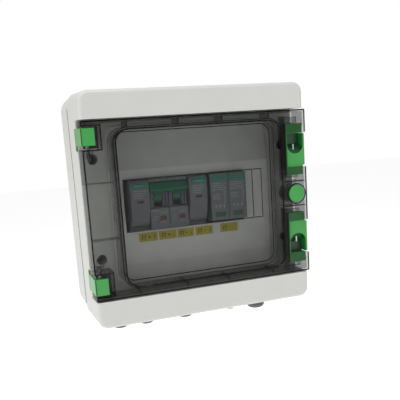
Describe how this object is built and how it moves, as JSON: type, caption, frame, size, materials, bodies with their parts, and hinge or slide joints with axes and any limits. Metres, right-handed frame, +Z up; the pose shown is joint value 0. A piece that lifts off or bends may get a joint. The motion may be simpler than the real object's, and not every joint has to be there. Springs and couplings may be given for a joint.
{
  "type": "dc combiner box",
  "caption": "Wall box that joins solar panel strings: fuses, breaker and surge protector on a rail behind a smoked hinged door with green latches.",
  "frame": {"origin": "centre of the flat back of the casing, which lies on the wall plane", "axes": "+X to the right as seen from the front, +Y from the front towards the wall, +Z up"},
  "size_m": [0.2063, 0.0974, 0.2269],
  "materials": {
    "shell_plastic": "light grey, fine moulded texture",
    "panel_plastic": "light grey, satin",
    "smoked_polycarbonate": "smoked, polished, see-through",
    "green_plastic": "bright green, satin gloss",
    "seal_rubber": "matt black",
    "zinc_steel": "zinc plated",
    "black_steel": "blackened",
    "brass": "machined",
    "module_grey": "blue grey, fine texture",
    "module_dark": "dark blue grey, fine texture",
    "toggle_green": "dark green",
    "marker_yellow": "yellow",
    "lens_red": "dark red, clear",
    "flag_green": "green",
    "fuse_ceramic": "white ceramic barrel with bright end caps",
    "gland_grey": "dark grey nylon",
    "wire_red": "red insulation",
    "wire_black": "black insulation",
    "wire_earth_green": "green and yellow insulation"
  },
  "bodies": {
    "enclosure": {"base_casing": "shell_plastic", "front_shell": "shell_plastic", "base_seal": "seal_rubber", "cover_screws": "zinc_steel", "dead_front": "panel_plastic", "circuit_labels": "marker_yellow", "drain_plug": "panel_plastic", "hinge_clip_upper": "green_plastic", "hinge_clip_lower": "green_plastic", "hinge_pins": "black_steel", "latch_keepers": "shell_plastic", "din_rail": "zinc_steel", "rail_screws": "zinc_steel", "fuse_base_left": "module_dark", "fuse_base_right": "module_dark", "breaker_body": "module_grey", "breaker_flags": "lens_red", "surge_base": "module_dark", "terminal_screws": "zinc_steel", "gland_bodies_small": "gland_grey", "gland_bodies_large": "gland_grey", "gland_rings_small": "seal_rubber", "gland_rings_large": "seal_rubber", "gland_locknuts_small": "gland_grey", "gland_locknuts_large": "gland_grey", "gland_nuts_small": "gland_grey", "gland_nuts_large": "gland_grey", "gland_seals_small": "seal_rubber", "gland_seals_large": "seal_rubber", "earth_bar": "brass", "earth_bar_feet": "panel_plastic", "earth_bar_screws": "zinc_steel", "wire_positive_feed": "wire_red", "wire_negative_feed": "wire_black", "wire_positive_surge": "wire_red", "wire_negative_surge": "wire_black", "wire_earth": "wire_earth_green"},
    "door": {"door": "smoked_polycarbonate", "door_seal": "seal_rubber", "latch_plate_upper": "smoked_polycarbonate", "latch_plate_lower": "smoked_polycarbonate", "button_spring": "zinc_steel"},
    "latch_upper": {"latch_upper": "green_plastic", "latch_pin_upper": "zinc_steel"},
    "latch_lower": {"latch_lower": "green_plastic", "latch_pin_lower": "zinc_steel"},
    "release_button": {"release_button": "green_plastic", "button_retainer": "zinc_steel"},
    "breaker_toggle": {"breaker_toggle": "toggle_green"},
    "fuse_carrier_left": {"fuse_carrier_left": "module_grey", "fuse_link_left": "fuse_ceramic", "fuse_lens_left": "lens_red"},
    "fuse_carrier_right": {"fuse_carrier_right": "module_grey", "fuse_link_right": "fuse_ceramic", "fuse_lens_right": "lens_red"},
    "surge_cartridge_left": {"surge_cartridge_left": "module_grey", "surge_flag_left": "flag_green"},
    "surge_cartridge_right": {"surge_cartridge_right": "module_grey", "surge_flag_right": "flag_green"}
  },
  "joints": [
    {"name": "door_hinge", "type": "hinge", "parent": "enclosure", "child": "door", "pos_m": [-0.0965, -0.092, 0], "axis": [0, 0, -1], "range_deg": [0, 115]},
    {"name": "latch_upper_slide", "type": "slide", "parent": "door", "child": "latch_upper", "axis": [0, 0, 1], "range_m": [0, 0.005]},
    {"name": "latch_lower_slide", "type": "slide", "parent": "door", "child": "latch_lower", "axis": [0, 0, -1], "range_m": [0, 0.005]},
    {"name": "release_button_press", "type": "slide", "parent": "door", "child": "release_button", "axis": [0, 1, 0], "range_m": [0, 0.003], "stiffness_N_per_m": 250, "springref_m": -0.001, "deforming": ["button_spring"]},
    {"name": "breaker_toggle_swing", "type": "hinge", "parent": "enclosure", "child": "breaker_toggle", "pos_m": [-0.0231, -0.057, 0.006], "axis": [1, 0, 0], "range_deg": [0, 65]},
    {"name": "fuse_carrier_left_swing", "type": "hinge", "parent": "enclosure", "child": "fuse_carrier_left", "pos_m": [-0.0504, -0.06, -0.0185], "axis": [1, 0, 0], "range_deg": [0, 5]},
    {"name": "fuse_carrier_right_swing", "type": "hinge", "parent": "enclosure", "child": "fuse_carrier_right", "pos_m": [0.0051, -0.06, -0.0185], "axis": [1, 0, 0], "range_deg": [0, 5]},
    {"name": "surge_cartridge_left_pull", "type": "slide", "parent": "enclosure", "child": "surge_cartridge_left", "axis": [0, -1, 0], "range_m": [0, 0.006]},
    {"name": "surge_cartridge_right_pull", "type": "slide", "parent": "enclosure", "child": "surge_cartridge_right", "axis": [0, -1, 0], "range_m": [0, 0.006]}
  ]
}
